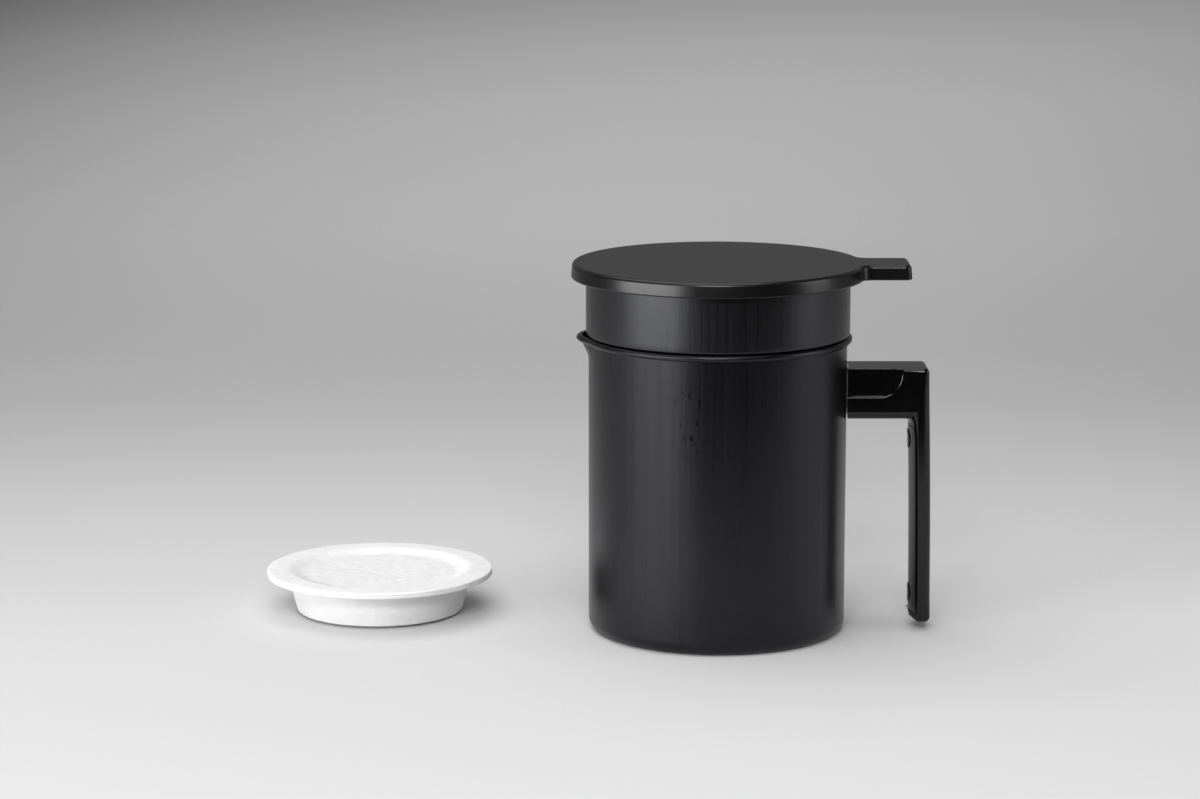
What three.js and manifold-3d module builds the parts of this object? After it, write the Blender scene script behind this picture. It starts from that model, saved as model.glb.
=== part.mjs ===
// A lidded oil and grease keeper with a filter cartridge, in millimetres, +Z up.
//
// A drawn can stands on the floor with its base centred on the origin. An upper vessel hangs in
// the can's mouth by its shoulder, a flat lid with a finger tab rests on the vessel, and a moulded
// handle on a welded bracket reaches out along +X. The filter cartridge, which drops into the hole
// in the vessel's floor, stands beside the can.

import * as THREE from 'three';
import { mergeVertices } from 'three/addons/utils/BufferGeometryUtils.js';
import Module from 'manifold-3d';

const wasm = await Module();
wasm.setup();

// How finely round forms are cut
const roundSteps = 64;
const boreSteps = 20;
const plugSteps = 28;
const smallArcSteps = 3;
const beadSteps = 6;
const edgeSteps = 3;

// Sheet metal can
const canRadius = 57.5;
const canHeight = 133.8;
const canWall = 0.8;
const canCorner = 5.6;
const beadRadius = 1.5;

// Pouring lip pressed into the can's mouth, opposite the handle
const lipReach = 3.2;
const lipHalfAngle = 17;
const lipDepth = 9.5;
const lipRings = 5;

// Upper vessel
const vesselStep = 2;
const vesselWall = 0.8;
const vesselShoulderCorner = 1;
const vesselStanding = 29.6;
const vesselHanging = 28;
const vesselFloorCorner = 4;
const vesselBeadRadius = 1.3;
const neckClearance = 1.1;
const seatLipDrop = 2.6;
const seatGap = 0.3;

// Filter cartridge
const cartridgeX = -153.4;
const cartridgeY = 30.9;
const cartridgeHeight = 20;
const cupMouthRadius = 42;
const cupTaper = 4;
const cupWall = 1.8;
const cupCorner = 2;
const cupFlangeThickness = 1.5;
const flangeWidth = 9.5;
const sheetThickness = 1.2;
const dishMouthInset = 0.7;
const dishWallRun = 3.9;
const dishDepth = 4.4;
const bedClearance = 0.3;
const cartridgeFit = 1.2;

// Lid
const lidOverhang = 6.6;
const lidPlate = 2.2;
const lidDepth = 6.7;
const lidSkirtWall = 2.3;
const lidDraft = 0.6;
const lidEdge = 1.2;
const lidRingFit = 0.9;
const lidRingWall = 1.8;
const lidRingDrop = 4.2;
const tabReach = 20.1;
const tabHalfWidth = 12.5;
const tabCorner = 3;
const tabRootFillet = 5;
const tabWall = 2.2;
const tabRib = 1.6;

// Moulded handle
const armDrop = 13.95;
const armDepth = 23.25;
const handleHalfWidth = 10.6;
const handleEdge = 2.1;
const saddleGap = 0.7;
const gripStandoff = 36.1;
const gripLean = 2;
const gripThickness = 8.7;
const gripFootHeight = 4;
const gripCurveSteps = 10;
const armOuterCorner = 2.4;
const armInnerFillet = 3.5;
const footCorner = 2.4;
const footChamferWidth = 3.7;
const footChamferHeight = 3.2;

// Shallow panel sunk into each side of the arm, with a sloped ledge round it
const panelSink = 1;
const panelLedgeRun = 0.9;
const panelFloorHeight = 10.3;
const panelRun = 13.6;
const panelCurve = 9.6;
const panelCurveAngle = 76;

// Hollow of the arm, for the bracket
const armWall = 2.6;
const armFloor = 3.5;
const armEndWall = 11;

// Bracket welded to the can
const bracketSteel = 1.5;
const bracketLength = 23.5;
const weldGap = 0.3;
const bracketFit = 0.3;
const bracketSideFit = 0.6;
const bracketWallHeight = 13;

// Bracket screw and nut
const screwReach = 13.5;
const screwRadius = 2;
const screwHeadRadius = 3.8;
const screwHeadHeight = 1.7;
const screwLength = 8.6;
const screwFit = 0.3;
const nutRadius = 4;
const nutHeight = 3.2;
const nutSides = 6;
const counterboreDepth = 2;

// Liner strip let into the grip's inner face
const linerHalfWidth = 6.7;
const linerThickness = 4;
const linerFit = 0.3;
const linerFootRise = 4;
const linerHeadDrop = 4;

// Small screws through the liner, and the plugs that cover them
const lowerPlugRise = 11.9;
const upperPlugDrop = 10;
const plugRadius = 4.6;
const plugProud = 1.15;
const plugSunk = 1.2;
const plugEdge = 0.6;
const plugFit = 0.3;
const gripScrewRadius = 1.5;
const gripScrewHeadRadius = 3;
const gripScrewHeadHeight = 1.5;
const gripScrewHeadDepth = 3.1;
const gripScrewLength = 4.4;

// How far a cutter runs past the faces that it opens
const overrun = 5;

// Places that follow from the sizes above
const canInner = canRadius - canWall;
const beadCentreHeight = canHeight - beadRadius;
const beadCentreRadius = canInner + beadRadius;
const shoulderHeight = canHeight + seatGap;
const vesselTop = shoulderHeight + vesselStanding;
const vesselRadius = canInner + vesselStep;
const vesselInner = vesselRadius - vesselWall;
const neckOuter = canInner - neckClearance;
const neckInner = neckOuter - vesselWall;
const vesselFloorHeight = shoulderHeight - vesselHanging;
const seatHoleRadius = cupMouthRadius + cartridgeFit;
const cupBaseRadius = cupMouthRadius - cupTaper;
const flangeRadius = cupMouthRadius + flangeWidth;
const flangeTop = cartridgeHeight - sheetThickness;
const flangeUnderside = flangeTop - cupFlangeThickness;
const dishMouthRadius = cupMouthRadius - dishMouthInset;
const dishFloorRadius = dishMouthRadius - dishWallRun;
const lidRadius = vesselRadius + lidOverhang;
const tabEnd = lidRadius + tabReach;
const lidUnderside = vesselTop + seatGap;
const lidTop = lidUnderside + lidPlate;
const lidBottom = lidTop - lidDepth;
const armTop = canHeight - armDrop;
const armBottom = armTop - armDepth;
const gripReach = canRadius + gripStandoff;
const linerFoot = gripFootHeight + linerFootRise;
const linerHead = armBottom - linerHeadDrop;
const plugHeights = [gripFootHeight + lowerPlugRise, armBottom - upperPlugDrop];
const saddleRadius = canRadius + saddleGap;
const cavityHalfWidth = handleHalfWidth - armWall;
const cavityFloorHeight = armBottom + armFloor;
const cavityRoofHeight = armTop - armWall;
const bracketFloorHeight = cavityFloorHeight + bracketFit;
const bracketHalfWidth = cavityHalfWidth - bracketSideFit;
const screwX = canRadius + screwReach;

// Solids

// Drops the seam and pole doubles of a geometry, and turns its faces outwards.
function closed(geometry) {
  geometry.deleteAttribute('normal');
  geometry.deleteAttribute('uv');
  const merged = mergeVertices(geometry);
  const places = merged.getAttribute('position');
  const corners = [new THREE.Vector3(), new THREE.Vector3(), new THREE.Vector3()];
  const kept = [];
  let volume = 0;
  for (let i = 0; i < merged.index.count; i += 3) {
    const [a, b, c] = [0, 1, 2].map((step) => merged.index.getX(i + step));
    if (a === b || b === c || c === a) {
      continue;
    }
    kept.push(a, b, c);
    corners[0].fromBufferAttribute(places, a);
    corners[1].fromBufferAttribute(places, b);
    corners[2].fromBufferAttribute(places, c);
    volume += corners[0].dot(corners[1].cross(corners[2]));
  }
  merged.setIndex(volume < 0 ? kept.reverse() : kept);
  return merged;
}

function solid(geometry) {
  const whole = closed(geometry);
  const vertProperties = new Float32Array(whole.getAttribute('position').array);
  const triVerts = new Uint32Array(whole.index.array);
  return new wasm.Manifold(new wasm.Mesh({ numProp: 3, vertProperties, triVerts }));
}

function geometryOf(shape) {
  const { vertProperties, triVerts } = shape.getMesh();
  const geometry = new THREE.BufferGeometry();
  geometry.setAttribute('position', new THREE.BufferAttribute(vertProperties, 3));
  geometry.setIndex(new THREE.BufferAttribute(triVerts, 1));
  return geometry;
}

// Points of an arc, anticlockwise where the second angle is the larger, in degrees.
function arc(centreX, centreY, radius, fromDegrees, toDegrees, steps) {
  const points = [];
  for (let i = 0; i <= steps; i++) {
    const angle = THREE.MathUtils.degToRad(fromDegrees + ((toDegrees - fromDegrees) * i) / steps);
    points.push([centreX + radius * Math.cos(angle), centreY + radius * Math.sin(angle)]);
  }
  return points;
}

function vectors(points) {
  return points.map(([x, y]) => new THREE.Vector2(x, y));
}

// A profile of [radius, height] points turned about the Z axis.
function turned(points, steps = roundSteps) {
  return new THREE.LatheGeometry(vectors(points), steps).rotateX(Math.PI / 2);
}

// A turned cylinder or disc standing on the given height.
function disc(radius, low, high, steps = roundSteps) {
  return turned([[0, low], [radius, low], [radius, high], [0, high]], steps);
}

// An outline in the XY plane, raised from one height to another.
function raised(points, low, high) {
  const shape = new THREE.Shape(vectors(points));
  return new THREE.ExtrudeGeometry(shape, { depth: high - low, bevelEnabled: false }).translate(0, 0, low);
}

// An outline in the XZ plane, given thickness along Y between two places.
function acrossY(points, low, high) {
  const shape = new THREE.Shape(vectors(points));
  const slab = new THREE.ExtrudeGeometry(shape, { depth: high - low, bevelEnabled: false });
  return slab.rotateX(Math.PI / 2).translate(0, high, 0);
}

// A turned form about Z laid down so that its height runs along +X, then put at a place.
function alongX(geometry, x, z) {
  return geometry.rotateY(Math.PI / 2).translate(x, 0, z);
}

function block(lowX, highX, lowY, highY, lowZ, highZ) {
  const outline = [[lowX, lowY], [highX, lowY], [highX, highY], [lowX, highY]];
  return raised(outline, lowZ, highZ);
}

// The angle on a bead of the given radius where it meets the outside of its wall
function beadStart(radius, wall) {
  return -THREE.MathUtils.radToDeg(Math.acos((wall - radius) / radius));
}

// Can

// Pulls the wall and its bead outwards opposite the handle, more towards the mouth.
function pressLip(geometry) {
  const places = geometry.getAttribute('position');
  const lipStart = beadCentreHeight - lipDepth;
  const halfAngle = THREE.MathUtils.degToRad(lipHalfAngle);
  for (let i = 0; i < places.count; i++) {
    const [x, y, z] = [places.getX(i), places.getY(i), places.getZ(i)];
    const radius = Math.hypot(x, y);
    const turn = Math.abs(Math.atan2(y, -x)) / halfAngle;
    if (z <= lipStart || turn >= 1) {
      continue;
    }
    const rise = THREE.MathUtils.smoothstep(z, lipStart, beadCentreHeight);
    const pull = lipReach * rise * Math.cos((turn * Math.PI) / 2) ** 2;
    places.setXY(i, (x * (radius + pull)) / radius, (y * (radius + pull)) / radius);
  }
  return geometry;
}

function canBody() {
  const cornerCentre = canRadius - canCorner;
  const wallTop = beadCentreHeight - beadRadius;
  const lipStart = beadCentreHeight - lipDepth;
  const lipHeights = [];
  for (let i = 0; i < lipRings; i++) {
    lipHeights.push(lipStart + ((wallTop - lipStart) * i) / lipRings);
  }
  const start = beadStart(beadRadius, canWall);
  const profile = [
    [0, 0],
    ...arc(cornerCentre, canCorner, canCorner, -90, 0, smallArcSteps),
    ...lipHeights.map((height) => [canRadius, height]),
    ...arc(beadCentreRadius, beadCentreHeight, beadRadius, start, 180, beadSteps),
    ...lipHeights.reverse().map((height) => [canInner, height]),
    ...arc(cornerCentre, canCorner, canCorner - canWall, 0, -90, smallArcSteps),
    [0, canWall],
  ];
  return closed(pressLip(turned(profile)));
}

// Handle

// The grip's outer face leans out a little towards its foot, in one shallow curve.
function gripOuterAt(height) {
  const down = (armTop - height) / (armTop - gripFootHeight);
  return gripReach + gripLean * (1 - (1 - down) ** 2);
}

function gripInnerAt(height) {
  return gripOuterAt(height) - gripThickness;
}

// Points down or up one face of the grip, as far in from it as asked.
function gripFace(faceAt, fromHeight, toHeight, inset = 0) {
  const points = [];
  for (let i = 0; i <= gripCurveSteps; i++) {
    const height = fromHeight + ((toHeight - fromHeight) * i) / gripCurveSteps;
    points.push([faceAt(height) + inset, height]);
  }
  return points;
}

function handleOutline() {
  const filletHeight = armBottom - armInnerFillet;
  const filletX = gripInnerAt(filletHeight) - armInnerFillet;
  const cornerHeight = armTop - armOuterCorner;
  const cornerX = gripOuterAt(cornerHeight) - armOuterCorner;
  const footCornerHeight = gripFootHeight + footCorner;
  const footCornerX = gripOuterAt(footCornerHeight) - footCorner;
  const chamferTop = gripFootHeight + footChamferHeight;
  const chamferX = gripInnerAt(chamferTop);
  const armRoot = canRadius - overrun;
  return [
    [armRoot, armBottom],
    ...arc(filletX, filletHeight, armInnerFillet, 90, 0, smallArcSteps),
    ...gripFace(gripInnerAt, filletHeight, chamferTop).slice(1),
    [chamferX + footChamferWidth, gripFootHeight],
    ...arc(footCornerX, footCornerHeight, footCorner, -90, 0, smallArcSteps),
    ...gripFace(gripOuterAt, footCornerHeight, cornerHeight).slice(1, -1),
    ...arc(cornerX, cornerHeight, armOuterCorner, 0, 90, smallArcSteps),
    [armRoot, armTop],
  ];
}

// The sunk panel's outline: along the arm, round a quarter turn and up to the arm's top.
function panelOutline() {
  const panelFloor = armBottom + panelFloorHeight;
  const bend = canRadius + panelRun;
  const armRoot = canRadius - overrun - overrun;
  const curve = arc(bend, panelFloor + panelCurve, panelCurve, -90, panelCurveAngle - 90, smallArcSteps * 2);
  const [curveX, curveHeight] = curve[curve.length - 1];
  const slope = Math.tan(THREE.MathUtils.degToRad(panelCurveAngle));
  const over = armTop + overrun;
  return [[armRoot, panelFloor], ...curve, [curveX + (over - curveHeight) / slope, over], [armRoot, over]];
}

// A cutter for one panel: it widens from the panel's floor to the handle's side, and so leaves
// the ledge sloped. It is made on the -Y side, and mirrored for the other.
function panelCutter(side) {
  const slab = new THREE.ExtrudeGeometry(new THREE.Shape(vectors(panelOutline())), {
    depth: overrun,
    bevelThickness: panelSink,
    bevelSize: panelLedgeRun,
    bevelSegments: 1,
  });
  return slab.rotateX(Math.PI / 2).translate(0, -handleHalfWidth, 0).scale(1, -side, 1);
}

// The whole L, before it is hollowed, with all its edges rounded
function handleBlank() {
  const shape = new THREE.Shape(vectors(handleOutline()));
  const width = 2 * handleHalfWidth;
  const slab = new THREE.ExtrudeGeometry(shape, {
    depth: width - 2 * handleEdge,
    bevelThickness: handleEdge,
    bevelSize: handleEdge,
    bevelOffset: -handleEdge,
    bevelSegments: edgeSteps,
  });
  return solid(slab.rotateX(Math.PI / 2).translate(0, handleHalfWidth - handleEdge, 0));
}

function handleShell() {
  let shell = handleBlank().subtract(solid(disc(saddleRadius, 0, armTop + overrun)));

  shell = shell.subtract(solid(panelCutter(1)));
  shell = shell.subtract(solid(panelCutter(-1)));

  const cavityEnd = gripOuterAt(armTop) - armEndWall;
  shell = shell.subtract(solid(block(
    canRadius - overrun, cavityEnd,
    -cavityHalfWidth, cavityHalfWidth,
    cavityFloorHeight, cavityRoofHeight,
  )));

  const holeRadius = screwRadius + screwFit;
  const boreRadius = screwHeadRadius + screwFit;
  const seat = armBottom + counterboreDepth;
  const hole = disc(holeRadius, armBottom - overrun, cavityFloorHeight + overrun, boreSteps);
  shell = shell.subtract(solid(hole.translate(screwX, 0, 0)));
  const counterbore = disc(boreRadius, armBottom - overrun, seat, boreSteps);
  shell = shell.subtract(solid(counterbore.translate(screwX, 0, 0)));

  const low = linerFoot - linerFit;
  const high = linerHead + linerFit;
  const channel = [
    ...gripFace(gripInnerAt, low, high, linerThickness + linerFit),
    ...gripFace(gripInnerAt, high, low, -overrun),
  ];
  const channelHalfWidth = linerHalfWidth + linerFit;
  shell = shell.subtract(solid(acrossY(channel, -channelHalfWidth, channelHalfWidth)));
  for (const height of plugHeights) {
    const pilotEnd = gripScrewHeadDepth + gripScrewLength + screwFit;
    const pilot = disc(gripScrewRadius + screwFit, 0, pilotEnd, boreSteps);
    shell = shell.subtract(solid(alongX(pilot, gripInnerAt(height), height)));
  }
  return geometryOf(shell);
}

// The strip that closes the grip's channel, flush with the grip down to the cut-back of its foot
function gripLiner() {
  const outline = [
    ...gripFace(gripInnerAt, linerFoot, linerHead, linerThickness),
    ...gripFace(gripInnerAt, linerHead, linerFoot, -overrun),
  ];
  let liner = handleBlank().intersect(solid(acrossY(outline, -linerHalfWidth, linerHalfWidth)));
  for (const height of plugHeights) {
    const face = gripInnerAt(height);
    const plugSeat = disc(plugRadius + plugFit, -overrun, plugSunk + plugFit, plugSteps);
    const headSeat = disc(gripScrewHeadRadius + screwFit, -overrun, gripScrewHeadDepth + screwFit, boreSteps);
    const hole = disc(gripScrewRadius + screwFit, -overrun, linerThickness + overrun, boreSteps);
    liner = liner.subtract(solid(alongX(plugSeat, face, height)));
    liner = liner.subtract(solid(alongX(headSeat, face, height)));
    liner = liner.subtract(solid(alongX(hole, face, height)));
  }
  return geometryOf(liner);
}

// A cap with a rounded rim, standing a little proud of the grip.
function gripPlug(height) {
  const rim = arc(plugRadius - plugEdge, -plugProud + plugEdge, plugEdge, -90, 0, edgeSteps);
  const profile = [[0, -plugProud], ...rim, [plugRadius, plugSunk], [0, plugSunk]];
  return closed(alongX(turned(profile, plugSteps), gripInnerAt(height), height));
}

// A low domed head on a plain shank, with the head's seat at height zero and the shank above it.
function screwForm(headRadius, headHeight, shankRadius, shankLength) {
  const crown = headHeight / 2;
  return turned([
    [0, -headHeight],
    [headRadius - crown, -headHeight],
    [headRadius, -crown],
    [headRadius, 0],
    [shankRadius, 0],
    [shankRadius, shankLength],
    [0, shankLength],
  ], boreSteps);
}

function gripScrew(height) {
  const form = screwForm(gripScrewHeadRadius, gripScrewHeadHeight, gripScrewRadius, gripScrewLength);
  return closed(alongX(form, gripInnerAt(height) + gripScrewHeadDepth, height));
}

function bracketScrew() {
  const form = screwForm(screwHeadRadius, screwHeadHeight, screwRadius, screwLength);
  return closed(form.translate(screwX, 0, armBottom + counterboreDepth - screwFit));
}

function bracketNut() {
  const low = bracketFloorHeight + bracketSteel + bracketFit;
  const body = solid(disc(nutRadius, low, low + nutHeight, nutSides));
  const bore = solid(disc(screwRadius + screwFit, low - overrun, low + nutHeight + overrun, boreSteps));
  return geometryOf(body.subtract(bore)).translate(screwX, 0, 0);
}

// A pressed channel, open upwards, on a saddle plate that follows the can's wall.
function handleBracket() {
  const weldFace = canRadius + weldGap;
  const plateFace = weldFace + bracketSteel;
  const channelEnd = weldFace + bracketLength;
  const plateTop = cavityRoofHeight - bracketFit;
  const channelTop = bracketFloorHeight + bracketWallHeight;
  const inside = bracketHalfWidth - bracketSteel;

  const outer = solid(disc(plateFace, bracketFloorHeight, plateTop));
  let bracket = outer.intersect(solid(block(
    canRadius - overrun, channelEnd,
    -bracketHalfWidth, bracketHalfWidth,
    bracketFloorHeight, plateTop,
  )));
  bracket = bracket.add(solid(block(
    canRadius - overrun, channelEnd,
    -bracketHalfWidth, bracketHalfWidth,
    bracketFloorHeight, channelTop,
  )));
  const trough = solid(block(
    canRadius - overrun, channelEnd + overrun,
    -inside, inside,
    bracketFloorHeight + bracketSteel, channelTop + overrun,
  )).subtract(outer);
  const bore = disc(screwRadius + screwFit, bracketFloorHeight - overrun, channelTop, boreSteps);
  bracket = bracket.subtract(trough);
  bracket = bracket.subtract(solid(disc(weldFace, 0, armTop)));
  bracket = bracket.subtract(solid(bore.translate(screwX, 0, 0)));
  return geometryOf(bracket);
}

// Upper vessel

function strainerVessel() {
  const wall = vesselWall;
  const shoulderX = vesselRadius - vesselShoulderCorner;
  const shoulderZ = shoulderHeight + vesselShoulderCorner;
  const insideCorner = vesselShoulderCorner + wall;
  const cornerX = neckOuter - vesselFloorCorner;
  const cornerZ = vesselFloorHeight + vesselFloorCorner;
  const beadX = vesselInner + vesselBeadRadius;
  const beadZ = vesselTop - vesselBeadRadius;
  const floorTop = vesselFloorHeight + wall;
  const lipBottom = vesselFloorHeight - seatLipDrop;
  const start = beadStart(vesselBeadRadius, wall);
  const profile = [
    [seatHoleRadius, lipBottom],
    [seatHoleRadius + wall, lipBottom],
    [seatHoleRadius + wall, vesselFloorHeight],
    ...arc(cornerX, cornerZ, vesselFloorCorner, -90, 0, smallArcSteps),
    [neckOuter, shoulderHeight],
    ...arc(shoulderX, shoulderZ, vesselShoulderCorner, -90, 0, smallArcSteps),
    ...arc(beadX, beadZ, vesselBeadRadius, start, 180, beadSteps),
    [vesselInner, shoulderHeight + insideCorner],
    [vesselInner - vesselShoulderCorner, shoulderHeight + wall],
    [neckInner, shoulderHeight + wall],
    ...arc(cornerX, cornerZ, vesselFloorCorner - wall, 0, -90, smallArcSteps),
    [seatHoleRadius + wall, floorTop],
    [seatHoleRadius, floorTop - wall],
    [seatHoleRadius, lipBottom],
  ];
  return closed(turned(profile));
}

// Lid

// The plan of the lid: a circle that flows through two fillets into a tab with rounded corners.
function lidPlan() {
  const filletY = tabHalfWidth + tabRootFillet;
  const filletX = Math.sqrt((lidRadius + tabRootFillet) ** 2 - filletY ** 2);
  const turn = THREE.MathUtils.radToDeg(Math.atan2(filletY, filletX));
  const cornerX = tabEnd - tabCorner;
  const cornerY = tabHalfWidth - tabCorner;
  return [
    ...arc(cornerX, -cornerY, tabCorner, -90, 0, smallArcSteps),
    ...arc(cornerX, cornerY, tabCorner, 0, 90, smallArcSteps),
    ...arc(filletX, filletY, tabRootFillet, -90, turn - 180, smallArcSteps),
    ...arc(0, 0, lidRadius, turn, 360 - turn, roundSteps).slice(1, -1),
    ...arc(filletX, -filletY, tabRootFillet, 180 - turn, 90, smallArcSteps),
  ];
}

// Draws the lid's sides in a little towards its top, as a moulding is.
function draw(geometry) {
  const places = geometry.getAttribute('position');
  for (let i = 0; i < places.count; i++) {
    const [x, y, z] = [places.getX(i), places.getY(i), places.getZ(i)];
    const radius = Math.hypot(x, y);
    const share = (z - lidBottom) / lidDepth;
    if (radius > 0) {
      places.setXY(i, (x * (radius - lidDraft * share)) / radius, (y * (radius - lidDraft * share)) / radius);
    }
  }
  return geometry;
}

// One of the two pockets under the tab, on the side that the sign gives
function tabPocket(side) {
  const innerX = lidRadius + tabWall;
  const outerX = tabEnd - lidDraft - tabWall;
  const nearY = tabRib / 2;
  const farY = tabHalfWidth - lidDraft - tabWall;
  const lowY = side > 0 ? nearY : -farY;
  const highY = side > 0 ? farY : -nearY;
  return block(innerX, outerX, lowY, highY, lidBottom - overrun, lidUnderside);
}

function lidBody() {
  const shape = new THREE.Shape(vectors(lidPlan()));
  const slab = new THREE.ExtrudeGeometry(shape, {
    depth: lidDepth - 2 * lidEdge,
    bevelThickness: lidEdge,
    bevelSize: lidEdge,
    bevelOffset: -lidEdge,
    bevelSegments: edgeSteps,
  }).translate(0, 0, lidBottom + lidEdge);
  let lid = solid(draw(slab));
  lid = lid.subtract(solid(disc(lidRadius - lidSkirtWall, lidBottom - overrun, lidUnderside)));
  lid = lid.subtract(solid(tabPocket(1)));
  lid = lid.subtract(solid(tabPocket(-1)));

  const ringOuter = vesselInner - lidRingFit;
  const ringInner = ringOuter - lidRingWall;
  const ringLow = lidUnderside - lidRingDrop;
  const ringHigh = lidUnderside + lidPlate / 2;
  const ring = turned([
    [ringInner, ringLow],
    [ringOuter, ringLow],
    [ringOuter, ringHigh],
    [ringInner, ringHigh],
    [ringInner, ringLow],
  ]);
  return geometryOf(lid.add(solid(ring)));
}

// Cartridge, made standing on the origin and then moved to its place

function atCartridge(geometry) {
  return closed(geometry.translate(cartridgeX, cartridgeY, 0));
}

// The moulded cup: a tapered wall between a flat base and a wide flange
function cartridgeCup() {
  const edge = cupFlangeThickness / 2;
  return atCartridge(turned([
    [0, 0],
    ...arc(cupBaseRadius - cupCorner, cupCorner, cupCorner, -90, 0, smallArcSteps),
    [cupMouthRadius, flangeUnderside],
    ...arc(flangeRadius - edge, flangeUnderside + edge, edge, -90, 90, smallArcSteps),
    [cupMouthRadius - cupWall, flangeTop],
    [cupBaseRadius - cupWall, cupWall],
    [0, cupWall],
  ], roundSteps));
}

// The sheet on top: a flat rim welded to the flange, and a shallow dish inside it
function cartridgeSheet() {
  const edge = sheetThickness / 2;
  const dishFloor = cartridgeHeight - dishDepth;
  return atCartridge(turned([
    [0, dishFloor],
    [dishFloorRadius - edge, dishFloor],
    [dishFloorRadius, dishFloor + edge / 2],
    [dishMouthRadius - edge / 2, cartridgeHeight - edge / 2],
    [dishMouthRadius, cartridgeHeight],
    ...arc(flangeRadius - edge, flangeTop + edge, edge, 90, -90, smallArcSteps),
    [dishMouthRadius - sheetThickness, flangeTop],
    [dishFloorRadius - edge, dishFloor - sheetThickness],
    [0, dishFloor - sheetThickness],
  ], roundSteps));
}

// The bed of filter granules, a plain plug of the space that they fill
function filterBed() {
  const low = cupWall + bedClearance;
  const high = cartridgeHeight - dishDepth - sheetThickness - bedClearance;
  const taper = (cupMouthRadius - cupBaseRadius) / flangeTop;
  const lowRadius = cupBaseRadius - cupWall - bedClearance;
  const highRadius = dishFloorRadius - sheetThickness - bedClearance + taper;
  return atCartridge(turned([[0, low], [lowRadius, low], [highRadius, high], [0, high]], roundSteps));
}

// The assembly

const blackCoat = { color: 0x17181a, roughness: 0.42, metalness: 0.35 };
const blackMoulding = { color: 0x141416, roughness: 0.3, metalness: 0 };
const lidMoulding = { color: 0x26272a, roughness: 0.5, metalness: 0 };
const steel = { color: 0x8f9499, roughness: 0.35, metalness: 0.9 };
const felt = { color: 0xf2f2ef, roughness: 0.95, metalness: 0 };
const carbon = { color: 0x1c1c1c, roughness: 1, metalness: 0 };

const part = new THREE.Group();

function add(group, name, geometry, look) {
  const mesh = new THREE.Mesh(geometry, new THREE.MeshStandardMaterial(look));
  mesh.name = name;
  group.add(mesh);
}

const pot = new THREE.Group();
add(pot, 'can_body', canBody(), blackCoat);
add(pot, 'handle_bracket', handleBracket(), steel);
add(pot, 'handle_shell', handleShell(), blackMoulding);
add(pot, 'bracket_screw', bracketScrew(), steel);
add(pot, 'bracket_nut', bracketNut(), steel);
add(pot, 'grip_liner', gripLiner(), blackMoulding);
const plugNames = ['lower', 'upper'];
plugHeights.forEach((height, i) => {
  add(pot, `grip_screw_${plugNames[i]}`, gripScrew(height), steel);
  add(pot, `grip_plug_${plugNames[i]}`, gripPlug(height), blackMoulding);
});
part.add(pot);

const vessel = new THREE.Group();
add(vessel, 'strainer_vessel', strainerVessel(), blackCoat);
part.add(vessel);

const lid = new THREE.Group();
add(lid, 'lid', lidBody(), lidMoulding);
part.add(lid);

const cartridge = new THREE.Group();
add(cartridge, 'cartridge_cup', cartridgeCup(), felt);
add(cartridge, 'cartridge_top_sheet', cartridgeSheet(), felt);
add(cartridge, 'filter_bed', filterBed(), carbon);
part.add(cartridge);

export default part;
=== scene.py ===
# %% [markdown]
# The keeper is a black lidded can for used cooking oil: a can with a pouring lip, an upper
# vessel that hangs in its mouth, a flat lid with a finger tab, a moulded handle, and a white
# felt filter cartridge that stands beside it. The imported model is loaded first, as a frame that
# nothing here moves. Then come the camera, the room, and one piece after another. Sizes are
# written in millimetres, and MM turns them into Blender's metres.

# %% The frame
import math

import bpy
from mathutils import Euler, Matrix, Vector, noise


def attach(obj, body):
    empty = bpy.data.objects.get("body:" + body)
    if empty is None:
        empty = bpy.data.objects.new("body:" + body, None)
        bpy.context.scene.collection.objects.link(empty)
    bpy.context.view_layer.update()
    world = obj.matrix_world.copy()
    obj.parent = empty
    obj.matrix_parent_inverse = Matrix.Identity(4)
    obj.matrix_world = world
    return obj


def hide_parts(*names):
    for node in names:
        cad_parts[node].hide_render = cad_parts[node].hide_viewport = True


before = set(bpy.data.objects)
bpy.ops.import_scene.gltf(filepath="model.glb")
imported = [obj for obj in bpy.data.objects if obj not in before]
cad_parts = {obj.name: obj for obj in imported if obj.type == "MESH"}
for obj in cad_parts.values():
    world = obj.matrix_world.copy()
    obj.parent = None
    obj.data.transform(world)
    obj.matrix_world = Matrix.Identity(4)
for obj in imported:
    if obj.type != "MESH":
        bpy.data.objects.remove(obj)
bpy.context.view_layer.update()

MM = 0.001
TURN = 2 * math.pi

# %% [markdown]
# The photograph is taken with a long lens from a little above the lid. The camera stands 1.6 m
# in front of the can's axis, a little to the left of it, and looks down by ten and a half degrees.
# A camera could be aimed with a constraint, but plain numbers keep it level and easy to check.

# %% The camera
camera = bpy.data.objects.new("camera", bpy.data.cameras.new("camera"))
bpy.context.scene.collection.objects.link(camera)
camera.location = (-52.4 * MM, -1600 * MM, 401.4 * MM)
LOOK_DOWN = 0.1838
camera.rotation_euler = Euler((math.pi / 2 - LOOK_DOWN, 0, 0))
camera.data.sensor_width = 36
camera.data.lens = 109.39
camera.data.clip_end = 50
bpy.context.scene.camera = camera
bpy.context.scene.view_settings.view_transform = "Standard"
print("the camera stands at", [round(v, 4) for v in camera.location])

# %% [markdown]
# Shader maths reads best as plain expressions. A small class wraps one output of a node, and
# its operators add the Math nodes. A second class holds a material and makes any other node.

# %% Writing materials as expressions


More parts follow.
